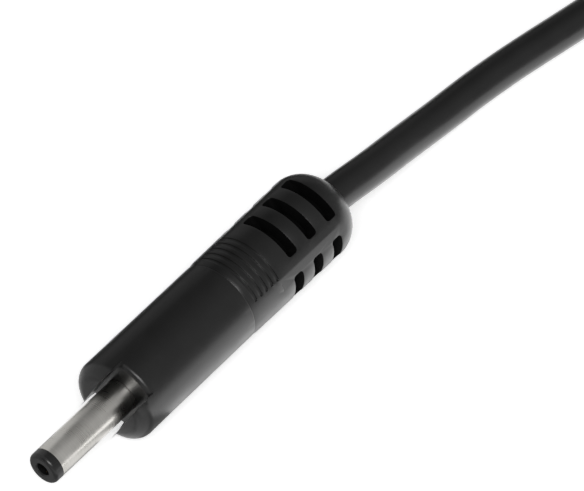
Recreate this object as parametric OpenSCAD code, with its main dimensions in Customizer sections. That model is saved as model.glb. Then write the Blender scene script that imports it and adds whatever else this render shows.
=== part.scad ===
// A moulded DC plug with its lead.
// The plug lies on its side: its tip points to -Y, its lead runs to +Y, and +Z is up.
// The origin is on the surface it lies on, under the middle of the plug.

/* [Barrel] */
// Outer diameter of the plated barrel
barrel_d = 3.5; // [3.2:0.1:3.8]
// Thickness of the barrel's wall
barrel_wall = 0.3; // [0.25:0.05:0.35]
// From the tip of the nose to the front of the shell's ears
barrel_reach = 9.7; // [9:0.05:12]
// Taper of the barrel's root, on the radius
root_taper = 0.03; // [0.02:0.01:0.06]
// Depth of the groove that the mould flows into, on the radius
anchor_depth = 0.15; // [0.1:0.05:0.2]
// Height of the anchor collar above the barrel
collar_height = 0.55; // [0.4:0.05:0.7]
// Length of the anchor collar
collar_len = 1; // [0.8:0.1:1.3]

/* [Insulators] */
// Length of the black nose ring
nose_len = 1.1; // [0.8:0.1:1.5]
// Rounding of the nose's outer edge
nose_round = 0.4; // [0.2:0.05:0.5]
// Chamfer at the mouth of the nose
mouth_chamfer = 0.12; // [0.08:0.02:0.16]
// How much wider the hole in the nose is than the contact's bore
mouth_clearance = 0.05; // [0.02:0.01:0.1]
// Length of the rear insulator's flange
flange_len = 0.8; // [0.6:0.1:1]

/* [Contact] */
// Bore of the centre contact
bore_d = 1.35; // [1.2:0.05:1.5]
// Thickness of the centre contact's wall
contact_wall = 0.25; // [0.2:0.05:0.3]
// Depth of the bore
bore_depth = 9.2; // [8:0.1:10.5]
// From the tip of the nose to the front of the contact
contact_setback = 0.9; // [0.6:0.05:1]
// Width of the contact's two spring slits
slit_w = 0.3; // [0.2:0.05:0.35]
// Length of the contact's two spring slits
slit_len = 5; // [3:0.5:7]
// Diameter of the contact's solder tail
tail_d = 0.7; // [0.6:0.05:0.8]
// Length of the contact's solder tail
tail_len = 4.3; // [3:0.1:5]

/* [Solder tab] */
// Thickness of the barrel's solder tab
tab_t = 0.25; // [0.2:0.05:0.3]
// Width of the barrel's solder tab
tab_w = 1.6; // [1.2:0.1:1.7]
// Length of the tab behind the barrel
tab_len = 4; // [3:0.25:5]

/* [Shell] */
// Diameter of the shell
shell_d = 9; // [8.6:0.1:10]
// Diameter of the shell where it meets the strain relief
shell_end_d = 8.9; // [8.5:0.02:8.95]
// Length of the shell, from its ears to the strain relief
shell_len = 16.5; // [14.5:0.05:19]
// Rounding of the rim of its front face
rim_round = 1.4; // [0.5:0.05:1.6]
// Width of the slot across the front
slot_w = 4.3; // [3.9:0.1:4.6]
// Depth of the slot, which leaves the two ears
slot_depth = 1.95; // [1.1:0.05:2.1]
// Rounding where the slot's floor meets the side
slot_round = 0.5; // [0.3:0.05:0.8]
// How far the slot is turned from upright
slot_turn = 24; // [0:1:45]

/* [Strain relief] */
// Diameter of the strain relief where it meets the shell
relief_d = 8.98; // [8.96:0.02:9.4]
// Diameter of the strain relief at its rear
relief_end_d = 9.22; // [9.1:0.02:9.8]
// Length of the strain relief
relief_len = 16.45; // [16:0.05:19]
// Radius of the rounding at its rear
relief_end_round = 3.4; // [2.8:0.1:3.8]
// Width of its flat rear face round the lead
relief_face = 0.35; // [0.1:0.05:0.4]
// Length of its sloping front edge
front_slope_len = 0.7; // [0.4:0.05:0.75]
// Depth of its sloping front edge
front_slope_depth = 0.14; // [0.08:0.02:0.3]
// How far its pattern is turned from upright
relief_turn = 6; // [0:1:45]
// Number of fine grooves behind the joint
groove_count = 5; // [3:1:5]
// Distance from one fine groove to the next
groove_pitch = 0.795; // [0.7:0.005:0.85]
// Width of a fine groove
groove_w = 0.34; // [0.3:0.02:0.5]
// Depth of a fine groove
groove_depth = 0.12; // [0.08:0.02:0.3]
// From the joint to the middle of the first fine groove
groove_start = 0.93; // [0.8:0.01:1.1]
// Half the angle that the fine grooves span
groove_half = 52; // [45:1:60]
// Number of flex slots along each side
flex_rows = 3; // [2:1:3]
// Distance from one row of flex slots to the next
flex_pitch = 2.85; // [2.6:0.05:3]
// Width of a flex slot
flex_w = 1.3; // [1:0.05:1.5]
// Depth of a flex slot
flex_depth = 1.8; // [1.2:0.05:1.95]
// From the joint to the middle of the first flex slot on top
flex_start = 7.1; // [6.9:0.1:7.6]
// How far the side slots are ahead of those on top
flex_stagger = 0.5; // [0:0.1:0.8]
// Half the angle that a top or bottom flex slot spans
flex_top_half = 41; // [30:1:42]
// Half the angle that a side flex slot spans
flex_side_half = 24; // [18:1:28]
// From the joint to the front of the flats along the ribs
flat_start = 4.35; // [3.8:0.05:5]
// Depth of the flats along the ribs
flat_depth = 0.06; // [0.04:0.01:0.15]
// Angle from the side to the middle of a flat
flat_turn = 26; // [25:1:32]

/* [Inner mould] */
// Diameter of the inner mould in the shell
inner_d = 6; // [5.6:0.1:6.4]
// Diameter of the inner mould in the strain relief
inner_end_d = 5.2; // [4.8:0.1:5.4]
// How far the inner mould reaches into the strain relief
inner_end_len = 3.8; // [3:0.1:4.5]

/* [Lead] */
// Diameter of the lead's jacket
lead_d = 3.7; // [3.5:0.1:3.9]
// Diameter of an insulated core
core_d = 1.2; // [1.1:0.05:1.25]
// Distance of each core's middle from the middle of the lead
core_offset = 0.65; // [0.63:0.01:0.7]
// Diameter of a core's bundle of strands
strand_d = 0.6; // [0.5:0.05:0.6]
// Thickness of the solder around each joint
solder_t = 0.1; // [0.08:0.02:0.2]
// How far the jacket is held inside the inner mould
jacket_grip = 2.5; // [1.5:0.1:3]
// Length of the stripped cores at the far end
stripped_len = 10; // [8:0.5:14]
// Length of the tinned end of each stripped core
tinned_len = 5; // [3:0.5:6]

/* [Hank] */
// Length of the tied hank of unseen lead
hank_len = 68; // [60:1:72]
// Width of the hank's end loops
hank_w = 26; // [24:0.5:28]
// Length of the tie
tie_len = 5; // [4:0.5:7]
// Thickness of the tie
tie_t = 0.4; // [0.3:0.05:0.6]

/* [Hidden] */
$fn = 64;
// Gap that solder or plastic fills between two pieces side by side
joint_gap = 0.05;

// Radii
barrel_r = barrel_d / 2;
root_r = barrel_r - root_taper;
groove_r = barrel_r - anchor_depth;
sleeve_bore_r = barrel_r - barrel_wall;
collar_r = barrel_r + collar_height;
bore_r = bore_d / 2;
contact_r = bore_r + contact_wall;
mouth_r = bore_r + mouth_clearance;
tail_r = tail_d / 2;
tab_in = collar_r - tab_t;
strip_out = sqrt(pow(collar_r - joint_gap, 2) - pow(tab_w / 2, 2));
strip_in = strip_out - tab_t;
flange_r = strip_in - joint_gap;
strand_r = strand_d / 2;
core_r = core_d / 2;
lead_r = lead_d / 2;
inner_r = inner_d / 2;
inner_end_r = inner_end_d / 2;
shell_r = shell_d / 2;
shell_end_r = shell_end_d / 2;
relief_r = relief_d / 2;
relief_end_r = relief_end_d / 2;
face_r = lead_r + relief_face;
end_round_len = sqrt(pow(relief_end_round, 2) - pow(relief_end_round - relief_end_r + face_r, 2));
axis_z = max(shell_r, relief_end_r);

// Lengths at the barrel's root: the taper starts this far before the ears, then the mould over
// the anchor groove, the groove, and the seat of the solder tab's ring
root_lead = 0.1;
anchor_cover = 0.4;
anchor_len = 0.45;
ring_seat = 1;

// Places along the plug, measured from the tip of the nose
ear_y = barrel_reach;
shoulder_y = ear_y + rim_round;
floor_y = ear_y + slot_depth;
root_y = ear_y - root_lead;
anchor_y = floor_y + anchor_cover;
collar_y = anchor_y + anchor_len;
ring_y = collar_y + collar_len;
sleeve_end = ring_y + ring_seat;
ring_end = sleeve_end + 0.2;
flange_end = sleeve_end + flange_len;
bore_end = contact_setback + bore_depth;
contact_end = flange_end + 0.4;
tail_end = contact_end + tail_len;
strand_y = contact_end + 0.6;
strip_y = tail_end + 2;
solder_y = strand_y + 0.5;
solder_end = tail_end - 0.5;
joint_y = ear_y + shell_len;
rear_y = joint_y + relief_len;
inner_end = joint_y + inner_end_len;
jacket_y = inner_end - jacket_grip;
flat_y = joint_y + flat_start;
plug_len = rear_y;

// Outline of the barrel's root, which the shell is moulded round
barrel_root = [
    [barrel_r, root_y], [root_r, anchor_y], [groove_r, anchor_y],
    [groove_r, collar_y], [collar_r, collar_y], [collar_r, ring_y]
];

// Radius of the shell where the slot's floor meets its side
floor_share = (floor_y + slot_round - shoulder_y) / (joint_y - shoulder_y);
floor_r = shell_r + (shell_end_r - shell_r) * floor_share;

// How far the strain relief leans outwards, and its radius at any place along it
relief_lean = atan((relief_end_r - relief_r) / (relief_len - end_round_len));
function relief_radius(at) = relief_r + (at - joint_y) * tan(relief_lean);

// Where the strands lie beside the contact's tail and on the tab
tail_offset = tail_r + joint_gap + strand_r;
tab_offset = strip_in - joint_gap - strand_r;

// Where the sleeve's core swerves out to the tab
swerve_start = strip_y + 0.5;
swerve_end = jacket_y - 0.5;
swerve_lean = atan((tab_offset - core_offset) / (swerve_end - swerve_start));

// The lead's route from the plug's rear face, chosen by hand. Each point is how far aside and
// how far along it is, then its height: 1 is the plug's axis and 0 is resting on the surface.
route = [
    [0, 0, 1], [0.1, 2, 0.92], [0.23, 4, 0.82], [0.29, 6, 0.69], [0.29, 8, 0.55],
    [0.27, 10, 0.41], [0.28, 12, 0.27], [0.34, 14, 0.16], [0.45, 16, 0.08], [0.58, 18, 0.03],
    [0.75, 20, 0.01], [0.97, 22, 0], [1.25, 24, 0], [1.57, 26, 0], [1.93, 28, 0],
    [2.31, 30, 0], [2.71, 32, 0], [3.1, 34, 0], [3.48, 36, 0], [3.85, 38, 0],
    [4.17, 40, 0], [4.4, 42, 0], [4.5, 44, 0], [4.5, 45, 0]
];
lead_path = [for (p = route) [p[0], p[1], lead_r + p[2] * (axis_z - lead_r)]];

// The hank: two round loops, drawn in by two equal bends to two strands side by side
hank_x = route[len(route) - 1][0];
hank_y = route[len(route) - 1][1];
hank_mid = hank_y + hank_len / 2;
hank_h = 2 * lead_d;
waist_r = lead_d;
end_flat = 0.15;
loop_r = hank_w / 2;
loop_mid = hank_len / 2 - loop_r + end_flat;
bend_r = loop_r - lead_r;
bend_turn = acos(1 - (loop_r - waist_r) / (2 * bend_r));
waist_half = loop_mid - 2 * bend_r * sin(bend_turn);

// The lead's free end, from the hank's far end: along, then height in diameters above resting
tail_route = [[0, 1], [2, 1], [4.5, 0.8], [7, 0.4], [9.5, 0.08], [12, 0], [13.5, 0]];
tail_path = [for (p = tail_route) [hank_x, hank_y + hank_len + p[0], lead_r + p[1] * lead_d]];
tail_y = hank_y + hank_len + tail_route[len(tail_route) - 1][0];

// Stands a shape that is drawn along +Z, with +Y up, on the plug's own axis
module on_axis() {
    translate([0, -plug_len / 2, axis_z]) rotate([90, 0, 180]) children();
}

// Moves a shape that is drawn from the plug's rear face
module from_rear() {
    translate([0, plug_len / 2, 0]) children();
}

// A straight rod along the plug, between two places, beside the axis
module rod(r, from, to, aside = 0) {
    translate([aside, 0, from]) cylinder(r = r, h = to - from);
}

// A tube with 8 sides that follows a list of points
module swept(points, r) {
    sides = 8;
    last = len(points) - 1;
    function unit(v) = v / norm(v);
    function heading(i) = unit(points[min(i + 1, last)] - points[max(i - 1, 0)]);
    function aside(i) = unit(cross(heading(i), [0, 0, 1]));
    ring_points = [
        for (i = [0:last])
            let (h = i == 0 || i == last ? [0, 1, 0] : heading(i))
            let (a = unit(cross(h, [0, 0, 1])), b = cross(a, h))
            for (k = [0:sides - 1])
                points[i] + r * (cos(k * 360 / sides) * a + sin(k * 360 / sides) * b)
    ];
    sides_faces = [
        for (i = [0:last - 1], k = [0:sides - 1])
            let (n = (k + 1) % sides)
            [i * sides + k, i * sides + n, (i + 1) * sides + n, (i + 1) * sides + k]
    ];
    caps = [
        [for (k = [sides - 1:-1:0]) k],
        [for (k = [0:sides - 1]) last * sides + k]
    ];
    polyhedron(ring_points, concat(sides_faces, caps), convexity = 10);
}

// The plated tube, with a groove and a collar that the shell grips
module barrel_sleeve() {
    color([0.62, 0.6, 0.56]) on_axis() rotate_extrude() polygon(concat(
        [[sleeve_bore_r, nose_len], [barrel_r, nose_len]],
        barrel_root,
        [[tab_in, ring_y], [tab_in, sleeve_end], [sleeve_bore_r, sleeve_end]]
    ));
}

// The black nose ring and the tube behind it, in one moulding
module nose_insulator() {
    color([0.05, 0.05, 0.05]) on_axis() rotate_extrude() {
        polygon([
            [mouth_r + mouth_chamfer, 0], [barrel_r - nose_round, 0],
            [barrel_r, nose_round], [barrel_r, nose_len],
            [sleeve_bore_r, nose_len], [sleeve_bore_r, ring_y],
            [contact_r, ring_y], [contact_r, contact_setback],
            [mouth_r, contact_setback], [mouth_r, mouth_chamfer]
        ]);
        translate([barrel_r - nose_round, nose_round]) circle(r = nose_round);
    }
}

// The spring contact that the mating pin enters
module centre_contact() {
    color([0.78, 0.66, 0.34]) on_axis() difference() {
        rotate_extrude() polygon([
            [bore_r, contact_setback], [contact_r, contact_setback],
            [contact_r, contact_end], [tail_r, contact_end],
            [tail_r, tail_end], [0, tail_end],
            [0, bore_end], [bore_r, bore_end]
        ]);
        translate([-slit_w / 2, -barrel_r, contact_setback - 1])
            cube([slit_w, 2 * barrel_r, slit_len + 1]);
    }
}

// The bush that closes the back of the barrel around the contact
module rear_insulator() {
    color([0.9, 0.88, 0.8]) on_axis() rotate_extrude() polygon([
        [contact_r, ring_y], [sleeve_bore_r, ring_y],
        [sleeve_bore_r, sleeve_end], [flange_r, sleeve_end],
        [flange_r, flange_end], [contact_r, flange_end]
    ]);
}

// A ring crimped round the back of the barrel, with a tab for the wire
module solder_tab() {
    color([0.72, 0.7, 0.64]) on_axis() {
        difference() {
            rod(collar_r, ring_y, ring_end);
            rod(tab_in, ring_y - 1, ring_end + 1);
        }
        tab_strip();
    }
}

// The flat tab behind the ring
module tab_strip() {
    translate([strip_in, -tab_w / 2, sleeve_end]) cube([tab_t, tab_w, tab_len]);
}

// The shell without its slot and bore
module shell_blank() {
    rotate_extrude() {
        polygon([
            [0, ear_y], [shell_r - rim_round, ear_y], [shell_r, shoulder_y],
            [shell_end_r, joint_y], [0, joint_y]
        ]);
        translate([shell_r - rim_round, shoulder_y]) circle(r = rim_round);
    }
}

// What the slot leaves: a flat floor with a rounded edge
module slot_floor() {
    rotate_extrude() {
        polygon([
            [0, floor_y], [floor_r - slot_round, floor_y], [floor_r, floor_y + slot_round],
            [shell_d, floor_y + slot_round], [shell_d, joint_y], [0, joint_y]
        ]);
        translate([floor_r - slot_round, floor_y + slot_round]) circle(r = slot_round);
    }
}

// The outer front moulding, with a slot across its face that leaves two ears
module front_shell() {
    color([0.06, 0.06, 0.06]) on_axis() difference() {
        shell_blank();
        rotate([0, 0, slot_turn]) difference() {
            translate([-slot_w / 2, -shell_d, ear_y - 1])
                cube([slot_w, 2 * shell_d, slot_depth + slot_round + 1]);
            slot_floor();
        }
        rotate_extrude() polygon(concat(
            [[0, root_y]],
            barrel_root,
            [[collar_r, sleeve_end], [0, sleeve_end]]
        ));
        rod(inner_r, sleeve_end, joint_y + 1);
    }
}

// A pie slice of a given half angle about +Y, along the plug
module slice(half, from, to) {
    reach = relief_end_d;
    translate([0, 0, from]) linear_extrude(height = to - from) polygon([
        [0, 0], [-reach * tan(half), reach], [reach * tan(half), reach]
    ]);
}

// A slot round part of the strain relief
module flex_slot(half, at) {
    difference() {
        slice(half, at - flex_w / 2, at + flex_w / 2);
        rod(relief_radius(at) - flex_depth, at - flex_w, at + flex_w);
    }
}

// The strain relief without its grooves, slots and flats
module relief_blank() {
    rotate_extrude() {
        polygon([
            [inner_end_r, joint_y], [relief_r - front_slope_depth, joint_y],
            [relief_r, joint_y + front_slope_len], [relief_end_r, rear_y - end_round_len],
            [face_r, rear_y], [lead_r, rear_y],
            [lead_r, inner_end], [inner_end_r, inner_end]
        ]);
        intersection() {
            translate([relief_end_r - relief_end_round, rear_y - end_round_len])
                circle(r = relief_end_round);
            translate([lead_r, rear_y - end_round_len]) square([relief_end_r, end_round_len]);
        }
    }
}

// The rear moulding: fine grooves, then rows of flex slots on four sides
module strain_relief() {
    color([0.06, 0.06, 0.06]) on_axis() rotate([0, 0, relief_turn]) difference() {
        relief_blank();
        for (side = [0, 180], i = [0:groove_count - 1])
            rotate([0, 0, side]) fine_groove(joint_y + groove_start + i * groove_pitch);
        for (side = [0, 180], i = [0:flex_rows - 1]) {
            rotate([0, 0, side]) flex_slot(flex_top_half, joint_y + flex_start + i * flex_pitch);
            rotate([0, 0, side + 90])
                flex_slot(flex_side_half, joint_y + flex_start - flex_stagger + i * flex_pitch);
        }
        for (side = [90, 270], way = [-1, 1])
            rotate([0, 0, side + way * flat_turn])
                translate([0, relief_radius(flat_y) - flat_depth, flat_y])
                    rotate([-relief_lean, 0, 0])
                        translate([-relief_r, 0, 0]) cube([relief_d, 1, relief_len]);
    }
}

// A shallow groove round part of the strain relief
module fine_groove(at) {
    difference() {
        slice(groove_half, at - groove_w / 2, at + groove_w / 2);
        rod(relief_radius(at) - groove_depth, at - groove_w, at + groove_w);
    }
}

// The first moulding, over the solder joints and the end of the jacket
module inner_mould() {
    color([0.82, 0.82, 0.78]) on_axis() difference() {
        union() {
            rod(inner_r, sleeve_end, joint_y);
            rod(inner_end_r, joint_y - 1, inner_end);
        }
        rod(flange_r, sleeve_end - 1, flange_end);
        rod(contact_r, flange_end - 0.1, contact_end);
        rod(tail_r, contact_end - 0.1, tail_end);
        difference() {
            rod(collar_r, sleeve_end - 1, ring_end);
            rod(tab_in, sleeve_end - 2, ring_end + 1);
        }
        tab_strip();
        strand_rod(-tail_offset);
        strand_rod(tab_offset);
        tail_solder_blank();
        tab_solder_blank();
        centre_core_shape();
        sleeve_core_shape();
        rod(lead_r, jacket_y, inner_end + 1);
    }
}

// The end of the jacket, from inside the inner mould to the rear face
module jacket_end() {
    color([0.07, 0.07, 0.07]) on_axis() difference() {
        rod(lead_r, jacket_y, rear_y);
        for (way = [-1, 1]) rod(core_r, jacket_y - 1, rear_y + 1, way * core_offset);
    }
}

// Bare strands from a core's end to its joint
module strand_rod(aside) {
    rod(strand_r, strand_y, strip_y, aside);
}

// The solder round the contact's tail and the strands beside it
module tail_solder_blank() {
    reach = (tail_r + tail_offset + strand_r) / 2;
    rod(reach + solder_t, solder_y, solder_end, tail_r - reach);
}

// The solder round the strands that lie on the tab
module tab_solder_blank() {
    rod(strand_r + joint_gap + tab_t + solder_t, solder_y, solder_end, tab_offset);
}

// The centre core runs straight to the contact's tail
module centre_core_shape() {
    rod(core_r, strip_y, rear_y, -core_offset);
}

// Everything behind a leaning plane that crosses the sleeve core's bend, or all before it
module bend_side(aside, at, way) {
    translate([aside, 0, at]) rotate([0, -swerve_lean / 2, 0])
        translate([0, 0, way * lead_d]) cube(2 * lead_d, center = true);
}

// The sleeve's core bends twice on its way out to the tab
module sleeve_core_shape() {
    intersection() {
        rod(core_r, strip_y, swerve_end, tab_offset);
        bend_side(tab_offset, swerve_start, -1);
    }
    difference() {
        translate([tab_offset, 0, swerve_start]) rotate([0, -swerve_lean, 0])
            rod(core_r, -1, swerve_end - swerve_start + 1);
        bend_side(tab_offset, swerve_start, -1);
        bend_side(core_offset, swerve_end, 1);
    }
    difference() {
        rod(core_r, swerve_start, rear_y, core_offset);
        bend_side(core_offset, swerve_end, -1);
    }
}

module centre_core() {
    color([0.75, 0.1, 0.08]) on_axis() centre_core_shape();
}

module sleeve_core() {
    color([0.08, 0.08, 0.08]) on_axis() sleeve_core_shape();
}

module centre_strands() {
    color([0.8, 0.45, 0.25]) on_axis() strand_rod(-tail_offset);
}

module sleeve_strands() {
    color([0.8, 0.45, 0.25]) on_axis() strand_rod(tab_offset);
}

// Solder between the contact's tail and the centre strands
module centre_solder() {
    color([0.7, 0.7, 0.7]) on_axis() difference() {
        tail_solder_blank();
        rod(tail_r, contact_end, tail_end);
        strand_rod(-tail_offset);
    }
}

// Solder between the barrel's tab and the sleeve's strands
module sleeve_solder() {
    color([0.7, 0.7, 0.7]) on_axis() difference() {
        tab_solder_blank();
        tab_strip();
        strand_rod(tab_offset);
    }
}

// The lead from the plug's rear face to the hank
module lead_tube() {
    color([0.07, 0.07, 0.07]) from_rear() swept(lead_path, lead_r);
}

// The outline of the tied hank, with its two ends cut flat where the lead goes on
module hank_outline() {
    for (turn = [0, 180]) rotate(turn) {
        intersection() {
            translate([0, loop_mid]) circle(r = loop_r);
            square([hank_w, hank_len], center = true);
        }
        polygon([
            [-waist_r, waist_half], [-waist_r, -waist_half / 2],
            [waist_r, -waist_half / 2], [waist_r, waist_half],
            [loop_r * cos(bend_turn), loop_mid - loop_r * sin(bend_turn)],
            [0, loop_mid],
            [-loop_r * cos(bend_turn), loop_mid - loop_r * sin(bend_turn)]
        ]);
    }
}

// The unseen lead, folded and tied
module lead_hank() {
    color([0.07, 0.07, 0.07]) from_rear() translate([hank_x, hank_mid, 0]) difference() {
        linear_extrude(height = hank_h) hank_outline();
        tie_ring();
    }
}

// The ring of the tie round the hank's waist
module tie_ring() {
    outer_r = waist_r + tie_t;
    difference() {
        translate([-outer_r, -tie_len / 2, 0]) cube([2 * outer_r, tie_len, hank_h + tie_t]);
        translate([-waist_r, -tie_len, tie_t]) cube([2 * waist_r, 2 * tie_len, hank_h - tie_t]);
    }
}

module hank_tie() {
    color([0.1, 0.1, 0.1]) from_rear() translate([hank_x, hank_mid, 0]) tie_ring();
}

// The lead's free end beyond the hank
module lead_tail() {
    color([0.07, 0.07, 0.07]) from_rear() swept(tail_path, lead_r);
}

// A stripped core at the free end
module far_core(way) {
    from_rear() translate([hank_x + way * core_offset, tail_y, lead_r])
        rotate([-90, 0, 0]) cylinder(r = core_r, h = stripped_len);
}

// The tinned strands at the end of a stripped core
module far_tip(way) {
    from_rear() translate([hank_x + way * core_offset, tail_y + stripped_len, lead_r])
        rotate([-90, 0, 0]) cylinder(r = strand_r, h = tinned_len);
}

module far_core_a() {
    color([0.75, 0.1, 0.08]) far_core(-1);
}

module far_core_b() {
    color([0.08, 0.08, 0.08]) far_core(1);
}

module far_tip_a() {
    color([0.75, 0.75, 0.74]) far_tip(-1);
}

module far_tip_b() {
    color([0.75, 0.75, 0.74]) far_tip(1);
}

barrel_sleeve();
nose_insulator();
centre_contact();
rear_insulator();
solder_tab();
front_shell();
strain_relief();
inner_mould();
jacket_end();
centre_core();
sleeve_core();
centre_strands();
sleeve_strands();
centre_solder();
sleeve_solder();
lead_tube();
lead_hank();
lead_tail();
hank_tie();
far_core_a();
far_core_b();
far_tip_a();
far_tip_b();
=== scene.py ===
# A moulded DC plug with its lead, in metres. The tip points to -Y, the lead runs to +Y, +Z is up.
from math import acos, cos, pi, radians, sin, sqrt

import bmesh
import bpy
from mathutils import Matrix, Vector


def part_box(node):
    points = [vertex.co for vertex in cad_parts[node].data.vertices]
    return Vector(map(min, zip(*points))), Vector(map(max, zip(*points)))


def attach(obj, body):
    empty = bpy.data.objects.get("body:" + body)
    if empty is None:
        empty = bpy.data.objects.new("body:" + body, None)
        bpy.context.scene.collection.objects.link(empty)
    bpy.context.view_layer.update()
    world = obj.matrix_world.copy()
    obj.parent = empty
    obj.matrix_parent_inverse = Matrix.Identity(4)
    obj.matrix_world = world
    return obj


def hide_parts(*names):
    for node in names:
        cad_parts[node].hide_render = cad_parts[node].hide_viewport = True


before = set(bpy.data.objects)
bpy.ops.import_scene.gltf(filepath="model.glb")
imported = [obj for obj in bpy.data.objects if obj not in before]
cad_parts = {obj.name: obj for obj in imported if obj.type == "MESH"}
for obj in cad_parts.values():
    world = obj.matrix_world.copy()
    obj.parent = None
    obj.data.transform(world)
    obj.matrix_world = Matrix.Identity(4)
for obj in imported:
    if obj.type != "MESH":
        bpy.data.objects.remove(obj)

mm = 0.001
scene = bpy.context.scene
scene.view_settings.view_transform = "Standard"
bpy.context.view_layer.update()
print("frame loaded:", len(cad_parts), "nodes")

# the strain relief is the widest piece, so its box gives the height of the plug's axis
reliefLow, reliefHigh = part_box("strain_relief")
axisHeight = (reliefLow.z + reliefHigh.z) / 2
rearFace = reliefHigh.y

# the camera: a long lens, from above and to the right, in millimetres and degrees
view = {
    "target": (0.92, 14.6, 4.61),
    "azimuth": 39.65,
    "elevation": 51.7,
    "distance": 1000.0,
    "lens": 640.7,
    "sensor": 36,
    "clip": (10, 20000),
}


def makeCamera():
    turn, rise = radians(view["azimuth"]), radians(view["elevation"])
    back = Vector((sin(turn) * cos(rise), -cos(turn) * cos(rise), sin(rise)))
    data = bpy.data.cameras.new("camera")
    data.lens = view["lens"]
    data.sensor_width = view["sensor"]
    data.clip_start, data.clip_end = (reach * mm for reach in view["clip"])
    camera = bpy.data.objects.new("camera", data)
    camera.location = (Vector(view["target"]) + back * view["distance"]) * mm
    camera.rotation_mode = "QUATERNION"
    camera.rotation_quaternion = (-back).to_track_quat("-Z", "Y")
    scene.collection.objects.link(camera)
    scene.camera = camera


makeCamera()
print("camera placed")

# the lead: one curve, along its route and then round the tied hank, in millimetres
lead = {
    "diameter": 3.7,
    # aside and along from the rear face, then height: 1 on the axis, 0 resting on the surface
    "route": [
        (0, 0, 1), (0.1, 2, 0.92), (0.23, 4, 0.82), (0.29, 6, 0.69), (0.29, 8, 0.55),
        (0.27, 10, 0.41), (0.28, 12, 0.27), (0.34, 14, 0.16), (0.45, 16, 0.08), (0.58, 18, 0.03),
        (0.75, 20, 0.01), (0.97, 22, 0), (1.25, 24, 0), (1.57, 26, 0), (1.93, 28, 0),
        (2.31, 30, 0), (2.71, 32, 0), (3.1, 34, 0), (3.48, 36, 0), (3.85, 38, 0),
        (4.17, 40, 0), (4.4, 42, 0), (4.5, 44, 0), (4.5, 45, 0),
    ],
    # along from the hank's far end, then height in diameters above resting
    "tail": [(0, 1), (2, 1), (4.5, 0.8), (7, 0.4), (9.5, 0.08), (12, 0), (13.5, 0)],
    "hankLength": 68.0,
    "hankWidth": 26.0,
    "tieThickness": 0.4,
    "step": 0.7,  # between the points of a bend
    "straightStep": 0.5,
    "halfLaneSteps": 6,  # from the hank's middle to one end of its waist
    "loopGap": 0.15,  # how far the loops reach past their even place
    "swingLength": 20,  # over which the lead's way in moves to its lane
    "liftStart": 4,  # past the waist, where a lane starts to rise onto the tie
    "liftLength": 5,
    "climbLength": 20,  # over which a loop rises to cross the lead's way in
    "farDip": 2.2,  # how far the top run sinks into the far loop
    "farDipEnd": 1.5,
    "endGap": 0.4,
    "roundness": 8,
}


def smoothThrough(points, step):
    # points along a curve that passes evenly through the given ones
    out = []
    last = len(points) - 1
    for i in range(last):
        before, here = points[max(i - 1, 0)], points[i]
        there, after = points[i + 1], points[min(i + 2, last)]
        count = max(2, round((there - here).length / step))
        for k in range(count):
            t = k / count
            out.append(0.5 * (2 * here + (there - before) * t
                              + (2 * before - 5 * here + 4 * there - after) * t * t
                              + (3 * here - before - 3 * there + after) * t * t * t))
    out.append(points[-1])
    return out


def arc(centre, radius, start, end, step):
    # flat points round a centre, from one angle to another, without the first
    count = max(2, round(abs(end - start) * radius / step))
    angles = [start + (end - start) * (k + 1) / count for k in range(count)]
    return [(centre[0] + radius * cos(a), centre[1] + radius * sin(a)) for a in angles]


def ease(t):
    t = min(max(t, 0), 1)
    return (1 - cos(pi * t)) / 2


def hankLine():
    # flat course of the folded lead, from the middle of the hank, in millimetres
    r = lead["diameter"] / 2
    step = lead["step"]
    bend = lead["hankWidth"] / 2 - r
    half = lead["hankLength"] / 2
    loopMid = half - lead["hankWidth"] / 2 + lead["loopGap"]
    turn = acos(1 - (bend - r) / (2 * bend))
    waist = loopMid - 2 * bend * sin(turn)
    topTurn = acos(1 - bend / (2 * bend))
    topStart = -loopMid + 2 * bend * sin(topTurn)
    top = loopMid + bend
    low, high, nested = r, 3 * r, r * (1 + sqrt(3))
    lift = lead["tieThickness"]
    swing = lead["swingLength"]
    straight = lead["straightStep"]
    steps = lead["halfLaneSteps"]
    course = []

    def add(points, height):
        course.extend((x, y, height(x, y)) for x, y in points)

    def lane(x, y):
        return low + lift * ease((waist + lead["liftStart"] - abs(y)) / lead["liftLength"])

    # in over the near loop's inside to the right-hand lane, then out round the far loop
    inward = [k * straight for k in range(round(-half / straight), round(-waist / straight))]
    add([(r * ease((y + swing) / (swing - waist)), y) for y in inward], lane)
    add([(r, -waist + k * waist / steps) for k in range(2 * steps + 1)], lane)
    add(arc((r + bend, waist), bend, pi, pi - turn, step), lane)
    add(arc((0, loopMid), bend, -turn, pi + turn, step), lane)
    add(arc((-r - bend, waist), bend, turn, 0, step), lane)
    add([(-r, waist - k * waist / steps) for k in range(1, 2 * steps + 1)], lane)
    add(arc((-r - bend, -waist), bend, 0, -turn, step), lane)

    # round the near loop, up over the lead's way in and down again, then on top of the waist
    loop = arc((0, -loopMid), bend, pi - turn, 2 * pi + topTurn, step)
    out = arc((bend, topStart), bend, pi + topTurn, pi, step)
    count = len(loop) + len(out)
    crossing = next(i for i, p in enumerate(loop) if p[0] >= 0)
    rise = round(lead["climbLength"] / step)
    for i, (x, y) in enumerate(loop + out):
        if i < crossing:
            z = low + (high - low) * ease(1 - (crossing - i) / rise)
        else:
            share = (i - crossing) / (count - 1 - crossing)
            ends = high + (nested + lift - high) * share
            z = low + (ends - low) * (1 + cos(2 * pi * share)) / 2
        course.append((x, y, z))

    # straight on along the top, down into the far loop and over its end
    y = topStart
    while y < half - lead["endGap"]:
        y += straight
        if y < waist:
            z = nested + lift
        else:
            share = min((y - waist) / (top - lead["farDipEnd"] - waist), 1)
            ends = nested + lift + (high - nested - lift) * share
            z = ends - lead["farDip"] * (1 - cos(2 * pi * share)) / 2
        course.append((0, y, z))
    return [Vector(p) for p in course]


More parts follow.
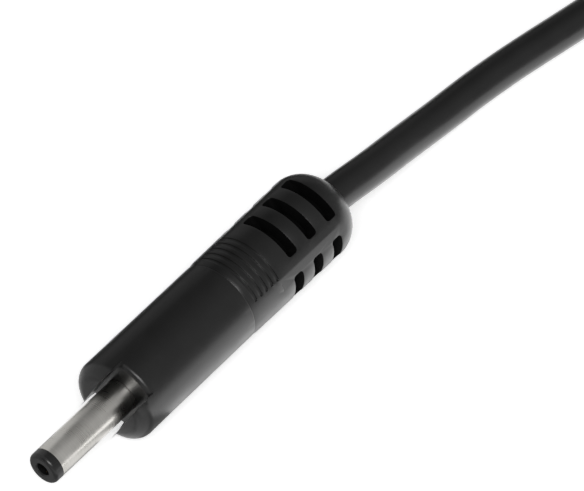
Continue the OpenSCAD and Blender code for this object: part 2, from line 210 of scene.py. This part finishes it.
def leadLine():
    r = lead["diameter"] / 2
    drop = axisHeight / mm - r
    rear = rearFace / mm
    route = [Vector((x, rear + y, r + z * drop)) for x, y, z in lead["route"]]
    mid = Vector((lead["route"][-1][0], route[-1].y + lead["hankLength"] / 2, 0))
    end = mid.y + lead["hankLength"] / 2
    tail = [Vector((mid.x, end + y, r + z * lead["diameter"])) for y, z in lead["tail"]]
    line = smoothThrough(route, lead["step"])[:-1]
    line += [p + mid for p in hankLine()]
    line += smoothThrough(tail, lead["step"])
    return [p * mm for p in line]


def makeCurve(name, points, radius):
    data = bpy.data.curves.new(name, "CURVE")
    data.dimensions = "3D"
    data.twist_mode = "MINIMUM"
    data.bevel_depth = 1.0  # each point's radius gives the size
    data.bevel_resolution = lead["roundness"]
    data.use_fill_caps = True
    spline = data.splines.new("POLY")
    spline.points.add(len(points) - 1)
    for knot, p in zip(spline.points, points):
        knot.co = (*p, 1)
        knot.radius = radius
    spline.use_smooth = True
    piece = bpy.data.objects.new(name, data)
    scene.collection.objects.link(piece)
    return piece


leadPoints = leadLine()
leadCord = makeCurve("lead", leadPoints, lead["diameter"] / 2 * mm)
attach(leadCord, "root")
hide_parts("lead_tube", "lead_hank", "lead_tail")


# shader helpers
def link(tree, pairs):
    for source, target in pairs:
        tree.links.new(source, target)


def makeGroup(name, inputs, outputs):
    group = bpy.data.node_groups.new(name, "ShaderNodeTree")
    for socket, kind, value in inputs:
        made = group.interface.new_socket(name=socket, in_out="INPUT", socket_type=kind)
        if value is not None:
            made.default_value = value
    for socket, kind in outputs:
        group.interface.new_socket(name=socket, in_out="OUTPUT", socket_type=kind)
    return group, group.nodes.new("NodeGroupInput").outputs, group.nodes.new("NodeGroupOutput").inputs


# a plain number is set on the socket, anything else is linked to it
def feed(tree, value, socket):
    if isinstance(value, (int, float)):
        socket.default_value = value
    else:
        tree.links.new(value, socket)


def addNoise(tree, coords, scale, detail):
    node = tree.nodes.new("ShaderNodeTexNoise")
    node.inputs["Detail"].default_value = detail
    feed(tree, scale, node.inputs["Scale"])
    tree.links.new(coords, node.inputs["Vector"])
    return node.outputs["Fac"]


def addRange(tree, value, low, high, outLow, outHigh):
    node = tree.nodes.new("ShaderNodeMapRange")
    ends = {"From Min": low, "From Max": high, "To Min": outLow, "To Max": outHigh}
    for name, number in ends.items():
        feed(tree, number, node.inputs[name])
    tree.links.new(value, node.inputs["Value"])
    return node.outputs["Result"]


def addMath(tree, operation, a, b):
    node = tree.nodes.new("ShaderNodeMath")
    node.operation = operation
    for socket, number in zip(node.inputs, (a, b)):
        feed(tree, number, socket)
    return node.outputs[0]


def addBump(tree, height, strength, distance):
    node = tree.nodes.new("ShaderNodeBump")
    tree.links.new(strength, node.inputs["Strength"])
    tree.links.new(distance, node.inputs["Distance"])
    tree.links.new(height, node.inputs["Height"])
    return node.outputs["Normal"]


def addTint(tree, fac, dark, light):
    node = tree.nodes.new("ShaderNodeMix")
    node.data_type = "RGBA"
    link(tree, ((fac, node.inputs[0]), (dark, node.inputs[6]), (light, node.inputs[7])))
    return node.outputs[2]


# noise scales are per metre, and each pair is the span of noise that is spread over a finish
grainLook = {"broadScale": 420.0, "detail": 3.0, "tone": (0.6, 1.4), "sheen": (0.3, 0.7)}
turnedLook = {"stretch": (0.15, 8, 0.15), "cloudScale": 500.0, "ringDetail": 3.0, "cloudDetail": 4.0,
              "span": (0.35, 0.65)}
finishOutputs = (("Color", "NodeSocketColor"), ("Roughness", "NodeSocketFloat"),
                 ("Normal", "NodeSocketVector"))


# the lowest and highest roughness that a finish asks for
def roughnessEnds(group, given):
    return [addMath(group, operation, given["Roughness"], given["Spread"])
            for operation in ("SUBTRACT", "ADD")]


# the fine spark grain of a moulding, with slow changes in its sheen and tone
def makeGrain():
    group, given, put = makeGroup(
        "mouldGrain",
        (("Vector", "NodeSocketVector", None), ("Grain", "NodeSocketFloat", 9000.0),
         ("Depth", "NodeSocketFloat", 0.00002), ("Strength", "NodeSocketFloat", 0.2),
         ("Roughness", "NodeSocketFloat", 0.4), ("Spread", "NodeSocketFloat", 0.05),
         ("Dark", "NodeSocketColor", (0.004, 0.004, 0.004, 1)),
         ("Light", "NodeSocketColor", (0.006, 0.006, 0.006, 1))),
        finishOutputs)
    fine = addNoise(group, given["Vector"], given["Grain"], grainLook["detail"])
    broad = addNoise(group, given["Vector"], grainLook["broadScale"], grainLook["detail"])
    tone = addRange(group, addMath(group, "ADD", fine, broad), *grainLook["tone"], 0.0, 1.0)
    sheen = addRange(group, broad, *grainLook["sheen"], *roughnessEnds(group, given))
    link(group, (
        (addTint(group, tone, given["Dark"], given["Light"]), put["Color"]),
        (sheen, put["Roughness"]),
        (addBump(group, fine, given["Strength"], given["Depth"]), put["Normal"])))
    return group


# the rings that turning leaves on a round metal piece, under its plating
def makeTurned():
    group, given, put = makeGroup(
        "turnedMetal",
        (("Vector", "NodeSocketVector", None), ("Rings", "NodeSocketFloat", 1000.0),
         ("Depth", "NodeSocketFloat", 0.00001), ("Strength", "NodeSocketFloat", 0.1),
         ("Roughness", "NodeSocketFloat", 0.25), ("Spread", "NodeSocketFloat", 0.05),
         ("Dark", "NodeSocketColor", (0.6, 0.58, 0.54, 1)),
         ("Light", "NodeSocketColor", (0.7, 0.68, 0.64, 1))),
        finishOutputs)
    stretch = group.nodes.new("ShaderNodeMapping")
    stretch.inputs["Scale"].default_value = turnedLook["stretch"]
    group.links.new(given["Vector"], stretch.inputs["Vector"])
    rings = addNoise(group, stretch.outputs["Vector"], given["Rings"], turnedLook["ringDetail"])
    cloud = addNoise(group, given["Vector"], turnedLook["cloudScale"], turnedLook["cloudDetail"])
    mixed = addMath(group, "MULTIPLY", addMath(group, "ADD", rings, cloud), 0.5)
    tone = addRange(group, mixed, *turnedLook["span"], 0.0, 1.0)
    sheen = addRange(group, mixed, *turnedLook["span"], *roughnessEnds(group, given))
    link(group, (
        (addTint(group, tone, given["Dark"], given["Light"]), put["Color"]),
        (sheen, put["Roughness"]),
        (addBump(group, rings, given["Strength"], given["Depth"]), put["Normal"])))
    return group


groups = {"grain": makeGrain(), "turned": makeTurned()}


# a material from one of the groups: what varies is linked, the rest is set on the shader
def makeFinish(name, kind, values, metallic=0.0, specular=0.5):
    material = bpy.data.materials.new(name)
    material.use_nodes = True
    tree = material.node_tree
    shader = tree.nodes["Principled BSDF"]
    shader.inputs["Metallic"].default_value = metallic
    shader.inputs["Specular IOR Level"].default_value = specular
    effect = tree.nodes.new("ShaderNodeGroup")
    effect.node_tree = groups[kind]
    for socket, value in values.items():
        effect.inputs[socket].default_value = (*value, 1) if isinstance(value, tuple) else value
    coords = tree.nodes.new("ShaderNodeTexCoord")
    link(tree, (
        (coords.outputs["Object"], effect.inputs["Vector"]),
        (effect.outputs["Color"], shader.inputs["Base Color"]),
        (effect.outputs["Roughness"], shader.inputs["Roughness"]),
        (effect.outputs["Normal"], shader.inputs["Normal"])))
    return material


plastics = {
    "blackShell": {"Dark": (0.0042, 0.0042, 0.0042), "Light": (0.007, 0.007, 0.0069),
                   "Grain": 8000.0, "Depth": 0.00002, "Strength": 0.3,
                   "Roughness": 0.34, "Spread": 0.04},
    # painted shade: the flex slots' walls and floors get a darker black than the shell and little
    # specular, standing for the shade that falls in these recesses
    "paintedSlotShade": {"Dark": (0.0012, 0.0012, 0.0012), "Light": (0.002, 0.002, 0.002),
                    "Grain": 5000.0, "Depth": 0.00003, "Strength": 0.4,
                    "Roughness": 0.85, "Spread": 0.05},
    "blackJacket": {"Dark": (0.0045, 0.0045, 0.0045), "Light": (0.0075, 0.0075, 0.0074),
                    "Grain": 5000.0, "Depth": 0.00002, "Strength": 0.25,
                    "Roughness": 0.33, "Spread": 0.05},
    "blackNose": {"Dark": (0.006, 0.006, 0.006), "Light": (0.009, 0.009, 0.009),
                  "Grain": 6000.0, "Depth": 0.00001, "Strength": 0.2,
                  "Roughness": 0.3, "Spread": 0.05},
    "blackCore": {"Dark": (0.01, 0.01, 0.01), "Light": (0.016, 0.016, 0.016),
                  "Grain": 4000.0, "Strength": 0.1, "Roughness": 0.36, "Spread": 0.05},
    "redCore": {"Dark": (0.3, 0.015, 0.01), "Light": (0.4, 0.022, 0.016),
                "Grain": 4000.0, "Strength": 0.1, "Roughness": 0.36, "Spread": 0.05},
    "naturalPlastic": {"Dark": (0.56, 0.54, 0.46), "Light": (0.64, 0.62, 0.54),
                       "Grain": 4000.0, "Strength": 0.15, "Roughness": 0.45, "Spread": 0.06},
}
metals = {
    "nickel": {"Dark": (0.6, 0.585, 0.55), "Light": (0.7, 0.685, 0.65),
               "Roughness": 0.3, "Spread": 0.05},
    "contactGold": {"Dark": (0.62, 0.46, 0.2), "Light": (0.74, 0.58, 0.28),
                    "Roughness": 0.28, "Spread": 0.06},
    "tinned": {"Dark": (0.5, 0.49, 0.47), "Light": (0.64, 0.63, 0.61),
               "Roughness": 0.38, "Spread": 0.1},
    "copper": {"Dark": (0.62, 0.3, 0.16), "Light": (0.78, 0.4, 0.24),
               "Roughness": 0.34, "Spread": 0.08},
}
# painted shade: the low specular keeps reflections off the flex slots' walls and floors, so they stay
# as dark as shade
slotShadeSpecular = {"paintedSlotShade": 0.08}  # plain plastic has 0.5
finish = {name: makeFinish(name, "grain", values, specular=slotShadeSpecular.get(name, 0.5))
          for name, values in plastics.items()}
finish.update({name: makeFinish(name, "turned", values, metallic=1.0)
               for name, values in metals.items()})

wears = {
    "barrel_sleeve": "nickel", "nose_insulator": "blackNose", "centre_contact": "contactGold",
    "rear_insulator": "naturalPlastic", "solder_tab": "tinned", "front_shell": "blackShell",
    "strain_relief": "blackShell", "inner_mould": "naturalPlastic", "jacket_end": "blackJacket",
    "centre_core": "redCore", "sleeve_core": "blackCore", "centre_strands": "copper",
    "sleeve_strands": "copper", "centre_solder": "tinned", "sleeve_solder": "tinned",
    "hank_tie": "blackCore", "far_core_a": "redCore", "far_core_b": "blackCore",
    "far_tip_a": "tinned", "far_tip_b": "tinned",
}
for node, name in wears.items():
    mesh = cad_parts[node].data
    mesh.materials.clear()
    mesh.materials.append(finish[name])
leadCord.data.materials.append(finish["blackJacket"])
print("materials set:", len(finish))

# the mouldings with the small edge radii that a mould leaves, in millimetres and degrees
moulds = {
    "front_shell": {"name": "softShell", "radius": 0.1, "segments": 3},
    "strain_relief": {"name": "softRelief", "radius": 0.05, "segments": 2},
}
edges = {"sharp": 30, "flat": 0.5, "merge": 0.001, "shadeWeight": 100}
flexSlots = {
    "reach": 4.1,  # the slots' walls and floors have their middles nearer the axis than this
    "faceMargins": (6, 2.5),  # from the relief's front and rear faces
    "cornerMargins": (5, 1),
    "cornerDepth": 1.2,
    "cornerLean": 0.05,
    "cornerSharp": 60,
    "cornerRadius": 0.36,
    "cornerSegments": 4,
}


def fromAxis(point):
    return sqrt(point.x ** 2 + (point.z - axisHeight) ** 2)


def between(y, margins):
    return reliefLow.y + margins[0] * mm < y < reliefHigh.y - margins[1] * mm


# 1 for the walls and floors of the flex slots, which get the painted slot shade, 0 for the rest
def inSlot(face, node):
    middle = face.calc_center_median()
    return int(node == "strain_relief" and fromAxis(middle) / mm < flexSlots["reach"]
               and between(middle.y, flexSlots["faceMargins"]))


# an edge that runs in towards the axis, as the corners of the flex slots do
def isCorner(edge):
    a, b = (vert.co for vert in edge.verts)
    return (abs(fromAxis(a) - fromAxis(b)) > flexSlots["cornerDepth"] * mm
            and abs(a.y - b.y) < flexSlots["cornerLean"] * mm
            and between((a.y + b.y) / 2, flexSlots["cornerMargins"])
            and edge.calc_face_angle(0) > radians(flexSlots["cornerSharp"]))


def roundEdges(shape, chosen, radius, segments):
    bmesh.ops.bevel(shape, geom=chosen, affect="EDGES", offset=radius * mm, offset_type="OFFSET",
                    segments=segments, profile=0.5, material=-1, clamp_overlap=False)


def soften(node):
    values = moulds[node]
    shape = bmesh.new()
    shape.from_mesh(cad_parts[node].data)
    bmesh.ops.remove_doubles(shape, verts=shape.verts[:], dist=edges["merge"] * mm)
    bmesh.ops.dissolve_limit(shape, angle_limit=radians(edges["flat"]), verts=shape.verts[:],
                             edges=shape.edges[:])
    if node == "strain_relief":
        corners = [edge for edge in shape.edges if isCorner(edge)]
        print("slot corners:", len(corners))
        roundEdges(shape, corners, flexSlots["cornerRadius"], flexSlots["cornerSegments"])
    sharp = [edge for edge in shape.edges if edge.calc_face_angle(0) > radians(edges["sharp"])]
    roundEdges(shape, sharp, values["radius"], values["segments"])
    for face in shape.faces:
        face.smooth = True
        face.material_index = inSlot(face, node)
    for edge in shape.edges:
        edge.smooth = edge.calc_face_angle(0) < radians(edges["sharp"])
    bmesh.ops.triangulate(shape, faces=shape.faces[:])
    mesh = bpy.data.meshes.new(values["name"])
    shape.to_mesh(mesh)
    shape.free()
    piece = bpy.data.objects.new(values["name"], mesh)
    scene.collection.objects.link(piece)
    mesh.materials.append(finish[wears[node]])
    # the second material paints shade on the flex slots' walls and floors
    if node == "strain_relief":
        mesh.materials.append(finish["paintedSlotShade"])
    weigh = piece.modifiers.new("evenShading", "WEIGHTED_NORMAL")
    weigh.keep_sharp = True
    weigh.weight = edges["shadeWeight"]
    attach(piece, "root")
    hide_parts(node)


for node in moulds:
    soften(node)
print("mould edges softened")

# the stage: a pale floor, a room that is brighter on the right and one soft lamp, in metres
stage = {
    "floorSize": 3.0,
    "floorColor": 0.9,
    "floorGlow": 0.55,
    "roomDim": 0.1,
    "roomBright": 0.55,
    "roomFade": (-0.9, 0.5),  # from the dim side to the bright one, along X
}
lamp = {"place": (0.28, -0.35, 0.62), "aim": (0, 0.01, 0), "size": (0.45, 0.3), "power": 3.2}

# cards that only reflections show: how bright each is, and its corners in millimetres
cards = {
    "darkCard": (0.05, ((-12, -9, 0), (-12, 90, 0), (-12, 90, 6), (-12, -9, 6))),
    "greyCard": (0.28, ((-12, -9, 6), (-12, 90, 6), (-13, 90, 17), (-13, -9, 17))),
    "barrelCard": (0.62, ((-12, -40, 0), (-12, -9, 0), (-13, -9, 30), (-13, -40, 30))),
    "barrelTopCard": (0.5, ((-13, -40, 30), (-13, -9, 30), (-1, -9, 42), (-1, -40, 42))),
    "frontCard": (0.4, ((-30, -70, 0.1), (12, -70, 0.1), (12, -13, 0.1), (-30, -13, 0.1))),
    "barrelSideCard": (0.95, ((3, -20, 0.2), (60, -20, 0.2), (60, -11, 0.2), (3, -11, 0.2))),
    "earCard": (0.4, ((3, -11, 0.1), (30, -11, 0.1), (30, -6, 0.1), (3, -6, 0.1))),
    "sideCard": (2.0, ((5, -6, 0.1), (60, -6, 0.1), (60, 90, 0.1), (4.5, 90, 0.1), (4.5, 66, 0.1),
                       (1.5, 47, 0.1), (0.5, 26, 0.1), (5, 21, 0.1))),
}


def newStageMaterial(name):
    material = bpy.data.materials.new(name)
    material.use_nodes = True
    tree = material.node_tree
    tree.nodes.clear()
    return material, tree, tree.nodes.new("ShaderNodeOutputMaterial").inputs["Surface"]


def makeFloor():
    mesh = bpy.data.meshes.new("floor")
    shape = bmesh.new()
    bmesh.ops.create_grid(shape, x_segments=1, y_segments=1, size=stage["floorSize"])
    shape.to_mesh(mesh)
    shape.free()
    floor = bpy.data.objects.new("floor", mesh)
    scene.collection.objects.link(floor)
    material, tree, end = newStageMaterial("floorPaper")
    paper = tree.nodes.new("ShaderNodeBsdfDiffuse")
    paper.inputs["Color"].default_value = (stage["floorColor"],) * 3 + (1,)
    glow = tree.nodes.new("ShaderNodeEmission")
    path = tree.nodes.new("ShaderNodeLightPath").outputs
    seen = addMath(tree, "MAXIMUM", path["Is Camera Ray"], path["Is Glossy Ray"])
    seen = addMath(tree, "MAXIMUM", seen, path["Is Transmission Ray"])
    both = tree.nodes.new("ShaderNodeAddShader")
    link(tree, (
        (addMath(tree, "MULTIPLY", seen, stage["floorGlow"]), glow.inputs["Strength"]),
        (paper.outputs[0], both.inputs[0]), (glow.outputs[0], both.inputs[1]), (both.outputs[0], end)))
    mesh.materials.append(material)


def makeWorld():
    world = bpy.data.worlds.new("studio")
    world.use_nodes = True
    tree = world.node_tree
    tree.nodes.clear()
    place = tree.nodes.new("ShaderNodeTexCoord")
    split = tree.nodes.new("ShaderNodeSeparateXYZ")
    tree.links.new(place.outputs["Generated"], split.inputs[0])
    room = tree.nodes.new("ShaderNodeBackground")
    white = tree.nodes.new("ShaderNodeBackground")
    mix = tree.nodes.new("ShaderNodeMixShader")
    path = tree.nodes.new("ShaderNodeLightPath").outputs
    end = tree.nodes.new("ShaderNodeOutputWorld")
    fade = addRange(tree, split.outputs[0], *stage["roomFade"], stage["roomDim"], stage["roomBright"])
    link(tree, (
        (fade, room.inputs["Strength"]),
        (path["Is Camera Ray"], mix.inputs["Fac"]), (room.outputs[0], mix.inputs[1]),
        (white.outputs[0], mix.inputs[2]), (mix.outputs[0], end.inputs["Surface"])))
    scene.world = world


def makeLamp():
    data = bpy.data.lights.new("softLamp", "AREA")
    data.shape = "RECTANGLE"
    data.size, data.size_y = lamp["size"]
    data.energy = lamp["power"]
    softLamp = bpy.data.objects.new("softLamp", data)
    softLamp.location = lamp["place"]
    softLamp.rotation_mode = "QUATERNION"
    ray = Vector(lamp["aim"]) - Vector(lamp["place"])
    softLamp.rotation_quaternion = ray.to_track_quat("-Z", "Y")
    scene.collection.objects.link(softLamp)


def makeCard(name, corners, strength):
    shape = bmesh.new()
    shape.faces.new([shape.verts.new(Vector(c) * mm) for c in corners])
    mesh = bpy.data.meshes.new(name)
    shape.to_mesh(mesh)
    shape.free()
    card = bpy.data.objects.new(name, mesh)
    scene.collection.objects.link(card)
    material, tree, end = newStageMaterial(name)
    glow = tree.nodes.new("ShaderNodeEmission")
    glow.inputs["Strength"].default_value = strength
    tree.links.new(glow.outputs[0], end)
    mesh.materials.append(material)
    card.visible_camera = False
    card.visible_diffuse = False
    card.visible_transmission = False
    card.visible_shadow = False


makeFloor()
makeWorld()
makeLamp()
for name, (strength, corners) in cards.items():
    makeCard(name, corners, strength)
print("stage built")
